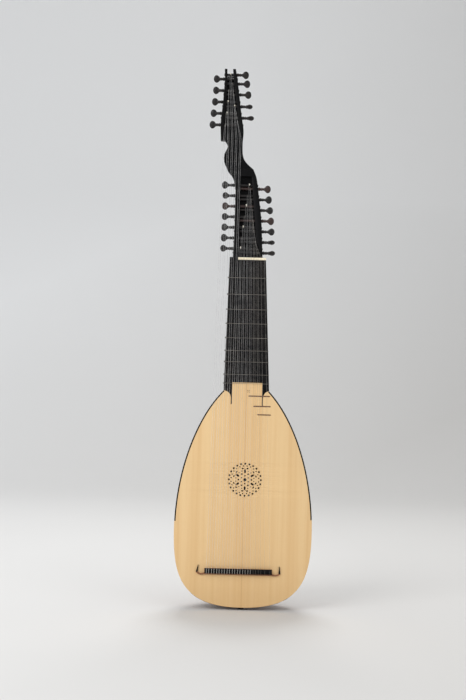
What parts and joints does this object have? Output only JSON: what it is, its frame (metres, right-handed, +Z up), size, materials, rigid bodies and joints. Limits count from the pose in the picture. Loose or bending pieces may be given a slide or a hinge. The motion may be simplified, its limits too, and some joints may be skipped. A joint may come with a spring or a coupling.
{
  "type": "swan-neck lute",
  "caption": "Plucked string instrument with a ribbed bowl, carved rose, tied frets, a bent pegbox for the fretted strings and a second pegbox above it for long bass strings.",
  "frame": {"origin": "the flat end of the strap button at the bottom of the bowl, on the body's centre line; the soundboard's front face is the plane Y = -0.02", "axes": "+Z up the body from the strap button to the heads, -Y out of the soundboard towards the listener, +X to the treble side"},
  "size_m": [0.3126, 0.1582, 1.2285],
  "materials": {
    "spruce": "satin",
    "rib_wood": "gloss varnish",
    "softwood": "raw",
    "ebony": "satin",
    "peg_wood": "polished",
    "fret_wood": "satin",
    "bridge_wood": "satin",
    "bone": "polished bone",
    "gut": "translucent gut",
    "steel": "plain"
  },
  "bodies": {
    "lute": {"soundboard": "spruce", "bowl": "rib_wood", "end_clasp": "rib_wood", "end_liner": "softwood", "strap_button": "ebony", "neck_block": "softwood", "neck_screw": "steel", "neck": "ebony", "fingerboard": "ebony", "nut": "bone", "upper_nut": "ebony", "lower_pegbox": "ebony", "swan_neck": "ebony", "bridge": "bridge_wood", "bridge_cap": "ebony", "edging_bass": "ebony", "edging_treble": "ebony", "fretted_strings": "gut", "bass_strings": "gut", "soundboard_bar_1": "softwood", "soundboard_bar_2": "softwood", "soundboard_bar_3": "softwood", "soundboard_bar_4": "softwood", "soundboard_bar_5": "softwood", "body_fret_10": "fret_wood", "body_fret_11": "fret_wood", "body_fret_12": "fret_wood"},
    "tuning_peg_lower_bass_1": {"peg_lower_bass_1": "peg_wood"},
    "tuning_peg_lower_bass_2": {"peg_lower_bass_2": "peg_wood"},
    "tuning_peg_lower_bass_3": {"peg_lower_bass_3": "peg_wood"},
    "tuning_peg_lower_bass_4": {"peg_lower_bass_4": "peg_wood"},
    "tuning_peg_lower_bass_5": {"peg_lower_bass_5": "peg_wood"},
    "tuning_peg_lower_bass_6": {"peg_lower_bass_6": "peg_wood"},
    "tuning_peg_lower_bass_7": {"peg_lower_bass_7": "peg_wood"},
    "tuning_peg_lower_treble_1": {"peg_lower_treble_1": "peg_wood"},
    "tuning_peg_lower_treble_2": {"peg_lower_treble_2": "peg_wood"},
    "tuning_peg_lower_treble_3": {"peg_lower_treble_3": "peg_wood"},
    "tuning_peg_lower_treble_4": {"peg_lower_treble_4": "peg_wood"},
    "tuning_peg_lower_treble_5": {"peg_lower_treble_5": "peg_wood"},
    "tuning_peg_lower_treble_6": {"peg_lower_treble_6": "peg_wood"},
    "tuning_peg_lower_treble_7": {"peg_lower_treble_7": "peg_wood"},
    "tuning_peg_upper_bass_1": {"peg_upper_bass_1": "peg_wood"},
    "tuning_peg_upper_bass_2": {"peg_upper_bass_2": "peg_wood"},
    "tuning_peg_upper_bass_3": {"peg_upper_bass_3": "peg_wood"},
    "tuning_peg_upper_bass_4": {"peg_upper_bass_4": "peg_wood"},
    "tuning_peg_upper_bass_5": {"peg_upper_bass_5": "peg_wood"},
    "tuning_peg_upper_treble_1": {"peg_upper_treble_1": "peg_wood"},
    "tuning_peg_upper_treble_2": {"peg_upper_treble_2": "peg_wood"},
    "tuning_peg_upper_treble_3": {"peg_upper_treble_3": "peg_wood"},
    "tuning_peg_upper_treble_4": {"peg_upper_treble_4": "peg_wood"},
    "tuning_peg_upper_treble_5": {"peg_upper_treble_5": "peg_wood"},
    "sliding_fret_1": {"tied_fret_1": "gut"},
    "sliding_fret_2": {"tied_fret_2": "gut"},
    "sliding_fret_3": {"tied_fret_3": "gut"},
    "sliding_fret_4": {"tied_fret_4": "gut"},
    "sliding_fret_5": {"tied_fret_5": "gut"},
    "sliding_fret_6": {"tied_fret_6": "gut"},
    "sliding_fret_7": {"tied_fret_7": "gut"},
    "sliding_fret_8": {"tied_fret_8": "gut"},
    "sliding_fret_9": {"tied_fret_9": "gut"}
  },
  "joints": [
    {"name": "turn_lower_bass_1", "type": "hinge", "parent": "lute", "child": "tuning_peg_lower_bass_1", "pos_m": [-0.012, -0.00839, 0.8205], "axis": [-1, 0, 0], "range_deg": [-330, 90]},
    {"name": "turn_lower_bass_2", "type": "hinge", "parent": "lute", "child": "tuning_peg_lower_bass_2", "pos_m": [-0.012, -0.00496, 0.8449], "axis": [-1, 0, 0], "range_deg": [-330, 90]},
    {"name": "turn_lower_bass_3", "type": "hinge", "parent": "lute", "child": "tuning_peg_lower_bass_3", "pos_m": [-0.012, -0.00153, 0.8693], "axis": [-1, 0, 0], "range_deg": [-330, 90]},
    {"name": "turn_lower_bass_4", "type": "hinge", "parent": "lute", "child": "tuning_peg_lower_bass_4", "pos_m": [-0.012, 0.0019, 0.8937], "axis": [-1, 0, 0], "range_deg": [-330, 90]},
    {"name": "turn_lower_bass_5", "type": "hinge", "parent": "lute", "child": "tuning_peg_lower_bass_5", "pos_m": [-0.012, 0.00533, 0.9181], "axis": [-1, 0, 0], "range_deg": [-330, 90]},
    {"name": "turn_lower_bass_6", "type": "hinge", "parent": "lute", "child": "tuning_peg_lower_bass_6", "pos_m": [-0.012, 0.00876, 0.9425], "axis": [-1, 0, 0], "range_deg": [-330, 90]},
    {"name": "turn_lower_bass_7", "type": "hinge", "parent": "lute", "child": "tuning_peg_lower_bass_7", "pos_m": [-0.012, 0.01219, 0.9669], "axis": [-1, 0, 0], "range_deg": [-330, 90]},
    {"name": "turn_lower_treble_1", "type": "hinge", "parent": "lute", "child": "tuning_peg_lower_treble_1", "pos_m": [-0.012, -0.00965, 0.8115], "axis": [-1, 0, 0], "range_deg": [-330, 90]},
    {"name": "turn_lower_treble_2", "type": "hinge", "parent": "lute", "child": "tuning_peg_lower_treble_2", "pos_m": [-0.012, -0.0062, 0.8361], "axis": [-1, 0, 0], "range_deg": [-330, 90]},
    {"name": "turn_lower_treble_3", "type": "hinge", "parent": "lute", "child": "tuning_peg_lower_treble_3", "pos_m": [-0.012, -0.00274, 0.8607], "axis": [-1, 0, 0], "range_deg": [-330, 90]},
    {"name": "turn_lower_treble_4", "type": "hinge", "parent": "lute", "child": "tuning_peg_lower_treble_4", "pos_m": [-0.012, 0.00072, 0.8853], "axis": [-1, 0, 0], "range_deg": [-330, 90]},
    {"name": "turn_lower_treble_5", "type": "hinge", "parent": "lute", "child": "tuning_peg_lower_treble_5", "pos_m": [-0.012, 0.00417, 0.9099], "axis": [-1, 0, 0], "range_deg": [-330, 90]},
    {"name": "turn_lower_treble_6", "type": "hinge", "parent": "lute", "child": "tuning_peg_lower_treble_6", "pos_m": [-0.012, 0.00763, 0.9345], "axis": [-1, 0, 0], "range_deg": [-330, 90]},
    {"name": "turn_lower_treble_7", "type": "hinge", "parent": "lute", "child": "tuning_peg_lower_treble_7", "pos_m": [-0.012, 0.01109, 0.9591], "axis": [-1, 0, 0], "range_deg": [-330, 90]},
    {"name": "turn_upper_bass_1", "type": "hinge", "parent": "lute", "child": "tuning_peg_upper_bass_1", "pos_m": [-0.045, -0.00968, 1.1008], "axis": [-1, 0, 0], "range_deg": [-330, 90]},
    {"name": "turn_upper_bass_2", "type": "hinge", "parent": "lute", "child": "tuning_peg_upper_bass_2", "pos_m": [-0.045, -0.00837, 1.1271], "axis": [-1, 0, 0], "range_deg": [-330, 90]},
    {"name": "turn_upper_bass_3", "type": "hinge", "parent": "lute", "child": "tuning_peg_upper_bass_3", "pos_m": [-0.045, -0.00705, 1.1534], "axis": [-1, 0, 0], "range_deg": [-330, 90]},
    {"name": "turn_upper_bass_4", "type": "hinge", "parent": "lute", "child": "tuning_peg_upper_bass_4", "pos_m": [-0.045, -0.00574, 1.1797], "axis": [-1, 0, 0], "range_deg": [-330, 90]},
    {"name": "turn_upper_bass_5", "type": "hinge", "parent": "lute", "child": "tuning_peg_upper_bass_5", "pos_m": [-0.045, -0.00443, 1.206], "axis": [-1, 0, 0], "range_deg": [-330, 90]},
    {"name": "turn_upper_treble_1", "type": "hinge", "parent": "lute", "child": "tuning_peg_upper_treble_1", "pos_m": [-0.045, -0.00886, 1.1173], "axis": [-1, 0, 0], "range_deg": [-330, 90]},
    {"name": "turn_upper_treble_2", "type": "hinge", "parent": "lute", "child": "tuning_peg_upper_treble_2", "pos_m": [-0.045, -0.00755, 1.1435], "axis": [-1, 0, 0], "range_deg": [-330, 90]},
    {"name": "turn_upper_treble_3", "type": "hinge", "parent": "lute", "child": "tuning_peg_upper_treble_3", "pos_m": [-0.045, -0.00619, 1.1707], "axis": [-1, 0, 0], "range_deg": [-330, 90]},
    {"name": "turn_upper_treble_4", "type": "hinge", "parent": "lute", "child": "tuning_peg_upper_treble_4", "pos_m": [-0.045, -0.00495, 1.1955], "axis": [-1, 0, 0], "range_deg": [-330, 90]},
    {"name": "turn_upper_treble_5", "type": "hinge", "parent": "lute", "child": "tuning_peg_upper_treble_5", "pos_m": [-0.045, -0.00392, 1.2161], "axis": [-1, 0, 0], "range_deg": [-330, 90]},
    {"name": "shift_fret_1", "type": "slide", "parent": "lute", "child": "sliding_fret_1", "axis": [0, 0, 1], "range_m": [-0.003, 0.003]},
    {"name": "shift_fret_2", "type": "slide", "parent": "lute", "child": "sliding_fret_2", "axis": [0, 0, 1], "range_m": [-0.003, 0.003]},
    {"name": "shift_fret_3", "type": "slide", "parent": "lute", "child": "sliding_fret_3", "axis": [0, 0, 1], "range_m": [-0.003, 0.003]},
    {"name": "shift_fret_4", "type": "slide", "parent": "lute", "child": "sliding_fret_4", "axis": [0, 0, 1], "range_m": [-0.003, 0.003]},
    {"name": "shift_fret_5", "type": "slide", "parent": "lute", "child": "sliding_fret_5", "axis": [0, 0, 1], "range_m": [-0.003, 0.003]},
    {"name": "shift_fret_6", "type": "slide", "parent": "lute", "child": "sliding_fret_6", "axis": [0, 0, 1], "range_m": [-0.003, 0.003]},
    {"name": "shift_fret_7", "type": "slide", "parent": "lute", "child": "sliding_fret_7", "axis": [0, 0, 1], "range_m": [-0.003, 0.003]},
    {"name": "shift_fret_8", "type": "slide", "parent": "lute", "child": "sliding_fret_8", "axis": [0, 0, 1], "range_m": [-0.003, 0.003]},
    {"name": "shift_fret_9", "type": "slide", "parent": "lute", "child": "sliding_fret_9", "axis": [0, 0, 1], "range_m": [-0.003, 0.003]}
  ]
}
